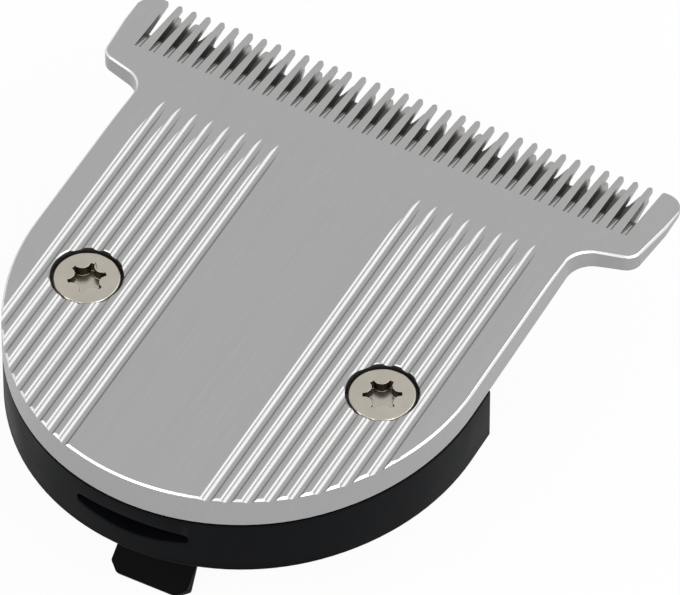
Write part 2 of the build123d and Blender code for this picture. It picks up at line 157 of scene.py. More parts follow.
class BladeFinishSettings(bpy.types.PropertyGroup):
    """Colours and roughness of the finishes, with the colours of painted shade and of a painted highlight."""

    comb_colour: FloatVectorProperty(
        name="Comb Steel", description="Colour of the satin comb blade",
        default=(0.38, 0.38, 0.378), size=3, min=0.0, max=1.0, subtype="COLOR")
    cutter_colour: FloatVectorProperty(
        name="Cutter Steel", description="Colour of the ground cutter",
        default=(0.39, 0.375, 0.365), size=3, min=0.0, max=1.0, subtype="COLOR")
    # Painted highlight: a light colour laid on the comb blade's rim chamfer
    rim_highlight_colour: FloatVectorProperty(
        name="Polished Rim", description="Colour of the comb blade's polished rim",
        default=(0.74, 0.74, 0.735), size=3, min=0.0, max=1.0, subtype="COLOR")
    # Painted shade: this dark colour is laid on the walls of the slots and screw holes, the run in of the
    # slots and the cutter's top under the comb
    painted_shade_colour: FloatVectorProperty(
        name="Shaded Steel", description="Colour of the oily steel inside the slots and under the comb",
        default=(0.13, 0.128, 0.122), size=3, min=0.0, max=1.0, subtype="COLOR")
    # Painted shade: a dark colour laid on the walls of the screws' star recesses
    star_recess_shade_colour: FloatVectorProperty(
        name="Star Recess", description="Colour of the walls of the screws' star recesses",
        default=(0.055, 0.045, 0.028), size=3, min=0.0, max=1.0, subtype="COLOR")
    screw_colour: FloatVectorProperty(
        name="Screw Nickel", description="Colour of the plated screws",
        default=(0.44, 0.41, 0.36), size=3, min=0.0, max=1.0, subtype="COLOR")
    spring_colour: FloatVectorProperty(
        name="Spring Wire", description="Colour of the spring wire",
        default=(0.45, 0.45, 0.44), size=3, min=0.0, max=1.0, subtype="COLOR")
    insert_colour: FloatVectorProperty(
        name="Insert Brass", description="Colour of the brass inserts",
        default=(0.72, 0.56, 0.28), size=3, min=0.0, max=1.0, subtype="COLOR")
    base_colour: FloatVectorProperty(
        name="Base Plastic", description="Colour of the black base",
        default=(0.0032, 0.0035, 0.0042), size=3, min=0.0, max=1.0, subtype="COLOR")
    # Painted shade: a darker colour laid on the hook below the base
    hook_shade_colour: FloatVectorProperty(
        name="Hook Plastic", description="Colour of the hook below the base",
        default=(0.0008, 0.0009, 0.0011), size=3, min=0.0, max=1.0, subtype="COLOR")
    carriage_colour: FloatVectorProperty(
        name="Carriage Plastic", description="Colour of the drive carriage",
        default=(0.05, 0.05, 0.053), size=3, min=0.0, max=1.0, subtype="COLOR")


class BladeStageSettings(bpy.types.PropertyGroup):
    """Floor, lamps and camera."""

    floor_colour: FloatVectorProperty(
        name="Floor", description="Colour of the floor",
        default=(0.92, 0.92, 0.92), size=3, min=0.0, max=1.0, subtype="COLOR")
    lens: FloatProperty(
        name="Lens", description="Focal length of the camera in millimetres",
        default=599.5, min=1.0)
    camera_place: FloatVectorProperty(
        name="Camera Place", description="Where the camera stands",
        default=(0.2300, -0.4230, 0.5509), size=3, subtype="XYZ", unit="LENGTH", precision=4)
    camera_target: FloatVectorProperty(
        name="Camera Target", description="The point that the camera looks at",
        default=(0.003765, 0.007474, 0.0045), size=3, subtype="XYZ", unit="LENGTH", precision=4)


class BladeSettings(bpy.types.PropertyGroup):
    """All the settings of the blade."""

    edges: PointerProperty(type=BladeEdgeSettings)
    finish: PointerProperty(type=BladeFinishSettings)
    stage: PointerProperty(type=BladeStageSettings)


# Shared effects

def node(tree, kind, place, **values):
    """Adds a node and sets its properties."""
    made = tree.nodes.new(kind)
    made.location = place
    for key, value in values.items():
        setattr(made, key, value)
    return made


def group_inputs(group, inputs, outputs):
    """Makes a group's sockets and its input and output nodes."""
    for name, kind, default in inputs:
        socket = group.interface.new_socket(name=name, in_out="INPUT", socket_type=kind)
        socket.default_value = default
    for name, kind in outputs:
        group.interface.new_socket(name=name, in_out="OUTPUT", socket_type=kind)
    return node(group, "NodeGroupInput", (-900, 0)), node(group, "NodeGroupOutput", (700, 0))


def grinding_lines():
    """Fine grinding lines along Y: a streak value, and a height for bump."""
    name = "Grinding Lines"
    if name in bpy.data.node_groups:
        return bpy.data.node_groups[name]
    group = bpy.data.node_groups.new(name, "ShaderNodeTree")
    inside, outside = group_inputs(
        group,
        [("Vector", "NodeSocketVector", (0.0, 0.0, 0.0)),
         ("Lines per Metre", "NodeSocketFloat", 9000.0),
         ("Length Ratio", "NodeSocketFloat", 0.012)],
        [("Streak", "NodeSocketFloat"), ("Height", "NodeSocketFloat")])
    along = node(group, "ShaderNodeMath", (-700, -120), operation="MULTIPLY")
    stretch = node(group, "ShaderNodeCombineXYZ", (-520, -60))
    placed = node(group, "ShaderNodeVectorMath", (-340, 0), operation="MULTIPLY")
    fine = node(group, "ShaderNodeTexNoise", (-140, 120), noise_dimensions="3D")
    fine.inputs["Scale"].default_value = 1.0
    fine.inputs["Detail"].default_value = 3.0
    fine.inputs["Roughness"].default_value = 0.65
    broad = node(group, "ShaderNodeTexNoise", (-140, -160), noise_dimensions="3D")
    broad.inputs["Scale"].default_value = 0.11
    broad.inputs["Detail"].default_value = 2.0
    both = node(group, "ShaderNodeMix", (120, 60), data_type="FLOAT")
    both.inputs["Factor"].default_value = 0.35
    centred = node(group, "ShaderNodeMapRange", (320, 100))
    centred.inputs["From Min"].default_value = 0.3
    centred.inputs["From Max"].default_value = 0.7
    link = group.links.new
    link(inside.outputs["Lines per Metre"], along.inputs[0])
    link(inside.outputs["Length Ratio"], along.inputs[1])
    link(inside.outputs["Lines per Metre"], stretch.inputs["X"])
    link(along.outputs[0], stretch.inputs["Y"])
    link(inside.outputs["Lines per Metre"], stretch.inputs["Z"])
    link(inside.outputs["Vector"], placed.inputs[0])
    link(stretch.outputs[0], placed.inputs[1])
    link(placed.outputs[0], fine.inputs["Vector"])
    link(placed.outputs[0], broad.inputs["Vector"])
    link(fine.outputs["Fac"], both.inputs["A"])
    link(broad.outputs["Fac"], both.inputs["B"])
    link(both.outputs["Result"], centred.inputs["Value"])
    link(centred.outputs["Result"], outside.inputs["Streak"])
    link(fine.outputs["Fac"], outside.inputs["Height"])
    return group


def fine_grain():
    """A moulded or blasted surface: a cloud value over a few millimetres, and a fine height for bump."""
    name = "Fine Grain"
    if name in bpy.data.node_groups:
        return bpy.data.node_groups[name]
    group = bpy.data.node_groups.new(name, "ShaderNodeTree")
    inside, outside = group_inputs(
        group,
        [("Vector", "NodeSocketVector", (0.0, 0.0, 0.0)),
         ("Grain Scale", "NodeSocketFloat", 5000.0),
         ("Cloud Scale", "NodeSocketFloat", 260.0)],
        [("Cloud", "NodeSocketFloat"), ("Height", "NodeSocketFloat")])
    grain = node(group, "ShaderNodeTexNoise", (-200, 120), noise_dimensions="3D")
    grain.inputs["Detail"].default_value = 2.0
    grain.inputs["Roughness"].default_value = 0.5
    cloud = node(group, "ShaderNodeTexNoise", (-200, -160), noise_dimensions="3D")
    cloud.inputs["Detail"].default_value = 3.0
    spread = node(group, "ShaderNodeMapRange", (120, -100))
    spread.inputs["From Min"].default_value = 0.32
    spread.inputs["From Max"].default_value = 0.68
    link = group.links.new
    link(inside.outputs["Vector"], grain.inputs["Vector"])
    link(inside.outputs["Vector"], cloud.inputs["Vector"])
    link(inside.outputs["Grain Scale"], grain.inputs["Scale"])
    link(inside.outputs["Cloud Scale"], cloud.inputs["Scale"])
    link(cloud.outputs["Fac"], spread.inputs["Value"])
    link(spread.outputs["Result"], outside.inputs["Cloud"])
    link(grain.outputs["Fac"], outside.inputs["Height"])
    return group


def shade(colour, factor):
    """A colour made lighter or darker, with full alpha."""
    return tuple(min(1.0, part * factor) for part in colour) + (1.0,)


def shaded_recess():
    """Darkens a colour and dulls a roughness where a mask is one."""
    name = "Shaded Recess"
    if name in bpy.data.node_groups:
        return bpy.data.node_groups[name]
    group = bpy.data.node_groups.new(name, "ShaderNodeTree")
    inside, outside = group_inputs(
        group,
        [("Color", "NodeSocketColor", (1.0, 1.0, 1.0, 1.0)),
         ("Roughness", "NodeSocketFloat", 0.3),
         ("Mask", "NodeSocketFloat", 0.0),
         ("Dark Color", "NodeSocketColor", (0.05, 0.05, 0.05, 1.0)),
         ("Dark Roughness", "NodeSocketFloat", 0.5)],
        [("Color", "NodeSocketColor"), ("Roughness", "NodeSocketFloat")])
    tint = node(group, "ShaderNodeMix", (0, 160), data_type="RGBA")
    dull = node(group, "ShaderNodeMix", (0, -120), data_type="FLOAT")
    link = group.links.new
    link(inside.outputs["Mask"], tint.inputs["Factor"])
    link(inside.outputs["Mask"], dull.inputs["Factor"])
    link(inside.outputs["Color"], tint.inputs["A"])
    link(inside.outputs["Dark Color"], tint.inputs["B"])
    link(inside.outputs["Roughness"], dull.inputs["A"])
    link(inside.outputs["Dark Roughness"], dull.inputs["B"])
    link(tint.outputs["Result"], outside.inputs["Color"])
    link(dull.outputs["Result"], outside.inputs["Roughness"])
    return group


def start_material(name):
    """An empty material with its shader, output and object coordinates."""
    material = bpy.data.materials.new(name)
    material.use_nodes = True
    tree = material.node_tree
    tree.nodes.clear()
    output = node(tree, "ShaderNodeOutputMaterial", (700, 0))
    shader = node(tree, "ShaderNodeBsdfPrincipled", (380, 0))
    place = node(tree, "ShaderNodeTexCoord", (-900, 0))
    tree.links.new(shader.outputs["BSDF"], output.inputs["Surface"])
    return material, tree, shader, place


def colour_and_roughness(tree, shader, value, colour, spread, rough, rough_spread):
    """Lets a value move the colour and the roughness a little to both sides."""
    tint = node(tree, "ShaderNodeMix", (60, 200), data_type="RGBA")
    tint.inputs["A"].default_value = shade(colour, 1.0 - spread)
    tint.inputs["B"].default_value = shade(colour, 1.0 + spread)
    gloss = node(tree, "ShaderNodeMapRange", (60, -80))
    gloss.inputs["To Min"].default_value = rough - rough_spread
    gloss.inputs["To Max"].default_value = rough + rough_spread
    tree.links.new(value, tint.inputs["Factor"])
    tree.links.new(value, gloss.inputs["Value"])
    tree.links.new(tint.outputs["Result"], shader.inputs["Base Color"])
    tree.links.new(gloss.outputs["Result"], shader.inputs["Roughness"])


def add_bump(tree, shader, height, strength, distance):
    """Feeds a height to the shader's normal."""
    bump = node(tree, "ShaderNodeBump", (60, -320))
    bump.inputs["Strength"].default_value = strength
    bump.inputs["Distance"].default_value = distance
    tree.links.new(height, bump.inputs["Height"])
    tree.links.new(bump.outputs["Normal"], shader.inputs["Normal"])


def ground_steel(name, colour, rough, spread, strength):
    """Steel with fine grinding lines."""
    material, tree, shader, place = start_material(name)
    lines = node(tree, "ShaderNodeGroup", (-500, 0), node_tree=grinding_lines())
    tree.links.new(place.outputs["Object"], lines.inputs["Vector"])
    colour_and_roughness(tree, shader, lines.outputs["Streak"], colour, spread, rough, 0.04)
    add_bump(tree, shader, lines.outputs["Height"], strength, 0.01 * MM)
    shader.inputs["Metallic"].default_value = 1.0
    return material


def shade_recess(material, mask, colour):
    """Puts the shaded recess between a material's colour and roughness and its shader."""
    tree = material.node_tree
    shader = tree.nodes["Principled BSDF"]
    recess = node(tree, "ShaderNodeGroup", (220, 120), node_tree=shaded_recess())
    recess.inputs["Dark Color"].default_value = shade(colour, 1.0)
    for name, output in (("Base Color", "Color"), ("Roughness", "Roughness")):
        tree.links.new(shader.inputs[name].links[0].from_socket, recess.inputs[output])
        tree.links.new(recess.outputs[output], shader.inputs[name])
    tree.links.new(mask, recess.inputs["Mask"])


def paint_highlight(material, mask, colour):
    """Lays a lighter colour over a material's own where a mask is one, as a painted highlight."""
    tree = material.node_tree
    shader = tree.nodes["Principled BSDF"]
    mix = node(tree, "ShaderNodeMix", (220, 320), data_type="RGBA")
    mix.inputs["B"].default_value = shade(colour, 1.0)
    tree.links.new(shader.inputs["Base Color"].links[0].from_socket, mix.inputs["A"])
    tree.links.new(mask, mix.inputs["Factor"])
    tree.links.new(mix.outputs["Result"], shader.inputs["Base Color"])


def marked(material, name):
    """The value that a mesh's faces carry under a name."""
    return node(material.node_tree, "ShaderNodeAttribute", (-500, -420), attribute_name=name).outputs["Fac"]


def grained(name, colour, rough, spread, strength, metallic, ior, grain_scale, cloud_scale):
    """Plastic or plated metal with a fine grain."""
    material, tree, shader, place = start_material(name)
    grain = node(tree, "ShaderNodeGroup", (-500, 0), node_tree=fine_grain())
    grain.inputs["Grain Scale"].default_value = grain_scale
    grain.inputs["Cloud Scale"].default_value = cloud_scale
    tree.links.new(place.outputs["Object"], grain.inputs["Vector"])
    colour_and_roughness(tree, shader, grain.outputs["Cloud"], colour, spread, rough, 0.05)
    add_bump(tree, shader, grain.outputs["Height"], strength, 0.02 * MM)
    shader.inputs["Metallic"].default_value = metallic
    shader.inputs["IOR"].default_value = ior
    return material


# Meshes

def merged_copy(cad_node):
    """The mesh of a solid, merged, with the triangles of each flat face joined."""
    mesh = bmesh.new()
    mesh.from_mesh(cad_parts[cad_node].data)
    bmesh.ops.remove_doubles(mesh, verts=mesh.verts, dist=MERGE)
    bmesh.ops.dissolve_limit(
        mesh, angle_limit=math.radians(0.5), use_dissolve_boundaries=False,
        verts=mesh.verts, edges=mesh.edges, delimit=set())
    return mesh


def is_wall(face):
    """Whether a face stands nearly upright."""
    return abs(face.normal.z) < WALL


def is_chamfer(face):
    """Whether a face slopes as the broken rim does."""
    return CHAMFER[0] < face.normal.z < CHAMFER[1]


def middle_of(edge):
    """The point halfway along an edge."""
    return (edge.verts[0].co + edge.verts[1].co) / 2


def round_edges(mesh, width, from_angle=ROUNDED_ANGLE):
    """Rounds the edges that are sharper than an angle in degrees."""
    limit = math.radians(from_angle)
    sharp = [edge for edge in mesh.edges if edge.is_manifold and edge.calc_face_angle() > limit]
    bevel_edges(mesh, sharp, width, segments=2)


def bevel_edges(mesh, edges, width, segments):
    """Rounds some edges of a mesh."""
    bmesh.ops.bevel(
        mesh, geom=edges, offset=width, offset_type="OFFSET", segments=segments, profile=0.5,
        affect="EDGES", clamp_overlap=False, loop_slide=True, material=-1)
    bmesh.ops.dissolve_degenerate(mesh, dist=MERGE, edges=mesh.edges)


def finish_piece(mesh, name, cad_nodes, body, material, rounding=0.0):
    """Makes a mesh an object that stands for its solids, rides on its body and has its finish."""
    for face in mesh.faces:
        face.smooth = True
    data = bpy.data.meshes.new(name)
    mesh.to_mesh(data)
    mesh.free()
    data.materials.append(material)
    piece = bpy.data.objects.new(name, data)
    bpy.context.scene.collection.objects.link(piece)
    if rounding:
        soft = piece.modifiers.new("Rounded edges", "BEVEL")
        soft.limit_method = "WEIGHT"
        soft.width = rounding
        soft.segments = 3
        soft.profile = 0.5
        soft.use_clamp_overlap = False
        soft.loop_slide = True
    flat = piece.modifiers.new("Flat faces stay flat", "WEIGHTED_NORMAL")
    flat.mode = "FACE_AREA"
    flat.weight = 60
    flat.keep_sharp = True
    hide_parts(*cad_nodes)
    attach(piece, body)


def ground_face(mesh):
    """The heights of the comb blade's ground face along Y, as a function."""
    points = {}
    for face in mesh.faces:
        if abs(face.normal.x) < LEVEL_X and face.normal.z > GROUND:
            raised = [vert.co for vert in face.verts if vert.co.z > GROUND_FOOT]
            points.update((round(place.y, 6), place.z) for place in raised)
    places = sorted(points)

    def height(y):
        after = min(max(bisect_right(places, y), 1), len(places) - 1)
        y0, y1 = places[after - 1], places[after]
        return points[y0] + (points[y1] - points[y0]) * (y - y0) / (y1 - y0)

    return height


def round_wing_corners(mesh, height):
    """Turns the hollow front corner of each wing over its chord, so that it is round as photographed."""
    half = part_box("comb_blade")[1][0]
    slant = Vector((1.0, 1.0)).normalized()
    chord = Vector((half - WING_CORNER / 2, COMB_TIP - WING_CORNER / 2))
    for vert in mesh.verts:
        place = Vector((abs(vert.co.x), vert.co.y))
        hollow = (chord - place).dot(slant)
        in_corner = min(place.x - half, place.y - COMB_TIP) > -WING_CORNER - MERGE
        if hollow > 0 and in_corner:
            place += 2.0 * hollow * slant
            if any(face.normal.z > TOP for face in vert.link_faces):
                vert.co.z += height(place.y) - height(vert.co.y)
            vert.co.x = math.copysign(place.x, vert.co.x)
            vert.co.y = place.y
    mesh.normal_update()


def weigh_comb_edges(mesh, edges):
    """Gives the rim and the teeth their share of the widest rounding; grooves and holes stay sharp."""
    widest = max(edges.rim_edge, edges.tooth_edge)
    share = mesh.edges.layers.float.new("bevel_weight_edge")
    for edge in mesh.edges:
        angle = math.degrees(edge.calc_face_angle())
        middle = middle_of(edge)
        by_groove = GROOVES_FROM < abs(middle.x) < GROOVES_TO
        broken = any(is_chamfer(face) for face in edge.link_faces)
        width = 0.0
        if middle.y > SLOT_REAR:
            width = edges.tooth_edge if angle > TOOTH_ANGLE else 0.0
        elif RIM_ANGLES[0] < angle < RIM_ANGLES[1] and broken and not by_groove:
            width = edges.rim_edge
        elif angle > SHARP_ANGLE:
            edge.smooth = False
        edge[share] = width / widest
    return widest


def mark_comb_faces(mesh):
    """Marks where shade is painted, on the walls of the screw holes and slots and the run in behind each
    slot, and where a highlight is painted, on the rim chamfer.
    """
    walls = mesh.faces.layers.float.new("slot_wall")
    floors = mesh.faces.layers.float.new("slot_floor")
    rim_highlights = mesh.faces.layers.float.new("rim")
    for face in mesh.faces:
        middle = face.calc_center_median()
        by_screw = (Vector((abs(middle.x), middle.y)) - SCREW_AXIS).length < SCREW_HOLE
        among_teeth = SLOT_REAR < middle.y < SLOT_FRONT and abs(middle.x) < COMB_END
        if is_wall(face) and (by_screw or among_teeth):
            face[walls] = 1.0
        elif among_teeth and RUN_IN[0] < face.normal.z < RUN_IN[1]:
            face[floors] = 1.0
        at_rear = middle.y < 0.0 and face.normal.y < REAR_Y
        in_groove = GROOVES_FROM < abs(middle.x) < GROOVES_TO and not at_rear
        # The rim chamfer is marked for a painted highlight
        if is_chamfer(face) and not among_teeth and not in_groove:
            face[rim_highlights] = 1.0


def behind_tips(tree):
    """One where teeth shade each other, fading to nothing at the tips; and the place it is read from."""
    place = node(tree, "ShaderNodeTexCoord", (-1500, -700))
    split = node(tree, "ShaderNodeSeparateXYZ", (-1300, -700))
    fade = node(tree, "ShaderNodeMapRange", (-1000, -900), interpolation_type="SMOOTHSTEP")
    fade.inputs["From Min"].default_value, fade.inputs["From Max"].default_value = TIP_SHADE
    tree.links.new(place.outputs["Object"], split.inputs[0])
    tree.links.new(split.outputs["Y"], fade.inputs["Value"])
    return fade.outputs["Result"], split


def slot_shade_mask(material):
    """One where shade is painted: on the walls of the slots, and along both sides of the run in between them.
    """
    tree = material.node_tree
    fade, split = behind_tips(tree)
    turn = node(tree, "ShaderNodeMath", (-1100, -700), operation="WRAP")
    turn.inputs[1].default_value = COMB_PITCH / 2
    turn.inputs[2].default_value = -COMB_PITCH / 2
    aside = node(tree, "ShaderNodeMath", (-920, -700), operation="ABSOLUTE")
    narrowed = node(tree, "ShaderNodeMapRange", (-1000, -1150), clamp=False)
    narrowed.inputs["From Min"].default_value = SLOT_REAR
    narrowed.inputs["From Max"].default_value = SLOT_REAR + RUN_IN_LENGTH
    narrowed.inputs["To Max"].default_value = RUN_IN_NARROWING
    wide = node(tree, "ShaderNodeMath", (-760, -780), operation="ADD")
    corner = node(tree, "ShaderNodeMapRange", (-740, -560))
    corner.inputs["From Min"].default_value, corner.inputs["From Max"].default_value = RUN_IN_SHADE
    on_floor = node(tree, "ShaderNodeMath", (-520, -640), operation="MULTIPLY")
    on_wall = node(tree, "ShaderNodeMath", (-520, -820), operation="MULTIPLY")
    either = node(tree, "ShaderNodeMath", (-320, -520), operation="MAXIMUM")
    link = tree.links.new
    link(split.outputs["X"], turn.inputs[0])
    link(split.outputs["Y"], narrowed.inputs["Value"])
    link(turn.outputs[0], aside.inputs[0])
    link(aside.outputs[0], wide.inputs[0])
    link(narrowed.outputs["Result"], wide.inputs[1])
    link(wide.outputs[0], corner.inputs["Value"])
    link(corner.outputs["Result"], on_floor.inputs[0])
    link(marked(material, "slot_floor"), on_floor.inputs[1])
    link(fade, on_wall.inputs[0])
    link(marked(material, "slot_wall"), on_wall.inputs[1])
    link(on_floor.outputs[0], either.inputs[0])
    link(on_wall.outputs[0], either.inputs[1])
    return either.outputs[0]


def under_comb_mask(material):
    """One on the cutter's top where the comb shades it."""
    tree = material.node_tree
    fade, _ = behind_tips(tree)
    on_top = node(tree, "ShaderNodeMath", (-520, -640), operation="MULTIPLY")
    tree.links.new(fade, on_top.inputs[0])
    tree.links.new(marked(material, "under_comb"), on_top.inputs[1])
    return on_top.outputs[0]


class BLADE_OT_comb(bpy.types.Operator):
    """Make the comb blade with rounded edges and ground steel"""

    bl_idname = "blade.comb"
    bl_label = "Comb Blade"

    def execute(self, context):
        settings = context.scene.blade
        mesh = merged_copy("comb_blade")
        # The faces are told apart by the solid's own normals, so they are marked before the corners turn
        mark_comb_faces(mesh)
        round_wing_corners(mesh, ground_face(mesh))
        widest = weigh_comb_edges(mesh, settings.edges)
        steel = ground_steel(
            "Comb steel", settings.finish.comb_colour, rough=0.27, spread=0.025, strength=0.035)
        # Painted shade on the walls of the slots and screw holes and along the run in of each slot
        shade_recess(steel, slot_shade_mask(steel), settings.finish.painted_shade_colour)
        # Painted highlight along the rim chamfer
        paint_highlight(steel, marked(steel, "rim"), settings.finish.rim_highlight_colour)
        finish_piece(mesh, "comb_plate", ["comb_blade"], BODY_HOLDER, steel, widest)
        return {"FINISHED"}


class BLADE_OT_cutter(bpy.types.Operator):
    """Make the sliding cutter with its ground teeth"""

    bl_idname = "blade.cutter"
    bl_label = "Cutter Blade"

    def execute(self, context):
        settings = context.scene.blade
        mesh = merged_copy("cutter_blade")
        round_edges(mesh, settings.edges.cutter_edge)
        top = mesh.faces.layers.float.new("under_comb")
        for face in mesh.faces:
            if face.normal.z > CUTTER_TOP:
                face[top] = 1.0
        steel = ground_steel(
            "Cutter steel", settings.finish.cutter_colour, rough=0.34, spread=0.05, strength=0.02)
        # Painted shade on the cutter's top where the comb lies over it
        shade_recess(steel, under_comb_mask(steel), settings.finish.painted_shade_colour)
        finish_piece(mesh, "cutter_plate", ["cutter_blade"], BODY_CUTTER, steel)
        return {"FINISHED"}


class BLADE_OT_screws(bpy.types.Operator):
    """Make the two star screws with rounded heads"""

    bl_idname = "blade.screws"
    bl_label = "Screws"

    def execute(self, context):
        settings = context.scene.blade
        nickel = grained(
            "Screw nickel", settings.finish.screw_colour, rough=0.26, spread=0.04, strength=0.05,
            metallic=1.0, ior=1.5, grain_scale=9000.0, cloud_scale=700.0)
        # Painted shade on the walls of the star recesses
        shade_recess(nickel, marked(nickel, "star_wall"), settings.finish.star_recess_shade_colour)
        for side, turn in (("left", -1.0), ("right", 1.0)):
            mesh = merged_copy(side + "_screw")
            walls = mesh.faces.layers.float.new("star_wall")
            axis = Vector((turn * SCREW_AXIS.x, 0.0))
            for face in mesh.faces:
                middle = face.calc_center_median()
                inside = middle.z > STAR_FLOOR and (middle.xy - axis).length < STAR_RADIUS
                if is_wall(face) and inside:
                    face[walls] = 1.0
            round_edges(mesh, settings.edges.screw_edge)
            finish_piece(mesh, side + "_star_screw", [side + "_screw"], BODY_HOLDER, nickel)
        return {"FINISHED"}


class BLADE_OT_inserts(bpy.types.Operator):
    """Give the threaded inserts their brass"""

    bl_idname = "blade.inserts"
    bl_label = "Threaded Inserts"

    def execute(self, context):
        settings = context.scene.blade
        brass = grained(
            "Insert brass", settings.finish.insert_colour, rough=0.3, spread=0.06, strength=0.08,
            metallic=1.0, ior=1.5, grain_scale=6000.0, cloud_scale=500.0)
        for side in ("left", "right"):
            mesh = merged_copy(side + "_insert")
            finish_piece(mesh, side + "_sleeve", [side + "_insert"], BODY_HOLDER, brass)
        return {"FINISHED"}


def round_recess_ends(mesh, width):
    """Rounds the four corners of the nail recess in the rear wall."""
    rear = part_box("base")[0][1]
    corners = []
    for edge in mesh.edges:
        run = edge.verts[0].co - edge.verts[1].co
        middle = middle_of(edge)
        lies_along = abs(run.y) > 0.95 * run.length and run.length > RECESS_EDGE
        at_end = abs(abs(middle.x) - RECESS_HALF) < RECESS_SLACK
        if lies_along and at_end and middle.y < rear + RECESS_DEPTH and middle.z > RECESS_FOOT:
            corners.append(edge)
    bevel_edges(mesh, corners, width, segments=4)


def hook_shade_mask(material):
    """One on the hook below the rear wall, where shade is painted, fading out above its root."""
    tree = material.node_tree
    place = node(tree, "ShaderNodeTexCoord", (-1100, -700))
    split = node(tree, "ShaderNodeSeparateXYZ", (-920, -700))
    low = node(tree, "ShaderNodeMapRange", (-720, -600), interpolation_type="SMOOTHSTEP")
    low.inputs["From Min"].default_value, low.inputs["From Max"].default_value = HOOK_SHADE_Z
    behind = node(tree, "ShaderNodeMapRange", (-720, -880), interpolation_type="SMOOTHSTEP")
    behind.inputs["From Min"].default_value, behind.inputs["From Max"].default_value = HOOK_SHADE_Y
    both = node(tree, "ShaderNodeMath", (-500, -700), operation="MULTIPLY")
    tree.links.new(place.outputs["Object"], split.inputs[0])
    tree.links.new(split.outputs["Z"], low.inputs["Value"])
    tree.links.new(split.outputs["Y"], behind.inputs["Value"])
    tree.links.new(low.outputs["Result"], both.inputs[0])
    tree.links.new(behind.outputs["Result"], both.inputs[1])
    return both.outputs[0]


class BLADE_OT_base(bpy.types.Operator):
    """Make the black base with its hook and spigot"""

    bl_idname = "blade.base"
    bl_label = "Base"

    def execute(self, context):
        settings = context.scene.blade
        mesh = merged_copy("base")
        round_recess_ends(mesh, settings.edges.recess_end)
        round_edges(mesh, settings.edges.base_edge)
        plastic = grained(
            "Base plastic", settings.finish.base_colour, rough=0.42, spread=0.12, strength=0.05,
            metallic=0.0, ior=1.12, grain_scale=7000.0, cloud_scale=320.0)
        # Painted shade on the hook below the rear wall
        shade_recess(plastic, hook_shade_mask(plastic), settings.finish.hook_shade_colour)
        finish_piece(mesh, "base_shell", ["base"], BODY_HOLDER, plastic)
        return {"FINISHED"}


class BLADE_OT_carriage(bpy.types.Operator):
    """Make the drive carriage with its fork"""

    bl_idname = "blade.carriage"
    bl_label = "Drive Carriage"

    def execute(self, context):
        settings = context.scene.blade
        mesh = merged_copy("drive_carriage")
        round_edges(mesh, settings.edges.carriage_edge)
        plastic = grained(
            "Carriage plastic", settings.finish.carriage_colour, rough=0.38, spread=0.1, strength=0.05,
            metallic=0.0, ior=1.4, grain_scale=8000.0, cloud_scale=400.0)
        finish_piece(mesh, "drive_fork", ["drive_carriage"], BODY_CUTTER, plastic)
        return {"FINISHED"}


class BLADE_OT_spring(bpy.types.Operator):
    """Bend the pressure spring from round wire"""

    bl_idname = "blade.spring"
    bl_label = "Pressure Spring"

    def execute(self, context):
        settings = context.scene.blade
        low, high = (Vector(corner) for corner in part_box("pressure_spring"))
        radius = (high.z - low.z) / 2
        bend = settings.edges.wire_bend
        arm_x = high.x - radius
        bridge_y = low.y + radius
        middle_z = (low.z + high.z) / 2
        mesh = bmesh.new()
        ring = bmesh.ops.create_circle(
            mesh, cap_ends=False, segments=settings.edges.wire_sides, radius=radius)["verts"]
        bmesh.ops.rotate(mesh, verts=ring, cent=(0, 0, 0), matrix=Matrix.Rotation(math.radians(90.0), 3, "X"))
        bmesh.ops.translate(mesh, verts=ring, vec=(arm_x, high.y, middle_z))
        ring_edges = list(mesh.edges)
        bmesh.ops.holes_fill(mesh, edges=ring_edges, sides=0)
        ring_edges = run_wire(mesh, ring_edges, (0, bridge_y + bend - high.y, 0))
        ring_edges = bend_wire(mesh, ring_edges, (arm_x - bend, bridge_y + bend, middle_z))
        ring_edges = run_wire(mesh, ring_edges, (2 * bend - 2 * arm_x, 0, 0))
        ring_edges = bend_wire(mesh, ring_edges, (bend - arm_x, bridge_y + bend, middle_z))
        ring_edges = run_wire(mesh, ring_edges, (0, high.y - bridge_y - bend, 0))
        bmesh.ops.holes_fill(mesh, edges=ring_edges, sides=0)
        bmesh.ops.remove_doubles(mesh, verts=mesh.verts, dist=MERGE)
        bmesh.ops.recalc_face_normals(mesh, faces=mesh.faces)
        round_edges(mesh, WIRE_END_EDGE, WIRE_END_ANGLE)
        wire = ground_steel(
            "Spring wire", settings.finish.spring_colour, rough=0.24, spread=0.05, strength=0.05)
        finish_piece(mesh, "wire_spring", ["pressure_spring"], BODY_HOLDER, wire)
        return {"FINISHED"}


def run_wire(mesh, ring_edges, move):
    """Extrudes the wire's open end along a straight run and returns the new end."""
    made = bmesh.ops.extrude_edge_only(mesh, edges=ring_edges)["geom"]
    verts = [item for item in made if isinstance(item, bmesh.types.BMVert)]
    bmesh.ops.translate(mesh, verts=verts, vec=move)
    return [item for item in made if isinstance(item, bmesh.types.BMEdge) and set(item.verts) <= set(verts)]


def bend_wire(mesh, ring_edges, centre):
    """Spins the wire's open end through a quarter turn and returns the new end."""
    made = bmesh.ops.spin(
        mesh, geom=ring_edges + list(dict.fromkeys(vert for edge in ring_edges for vert in edge.verts)),
        cent=centre, axis=(0, 0, -1), angle=math.radians(90.0), steps=8, use_merge=False, use_duplicate=False)
    return [item for item in made["geom_last"] if isinstance(item, bmesh.types.BMEdge)]


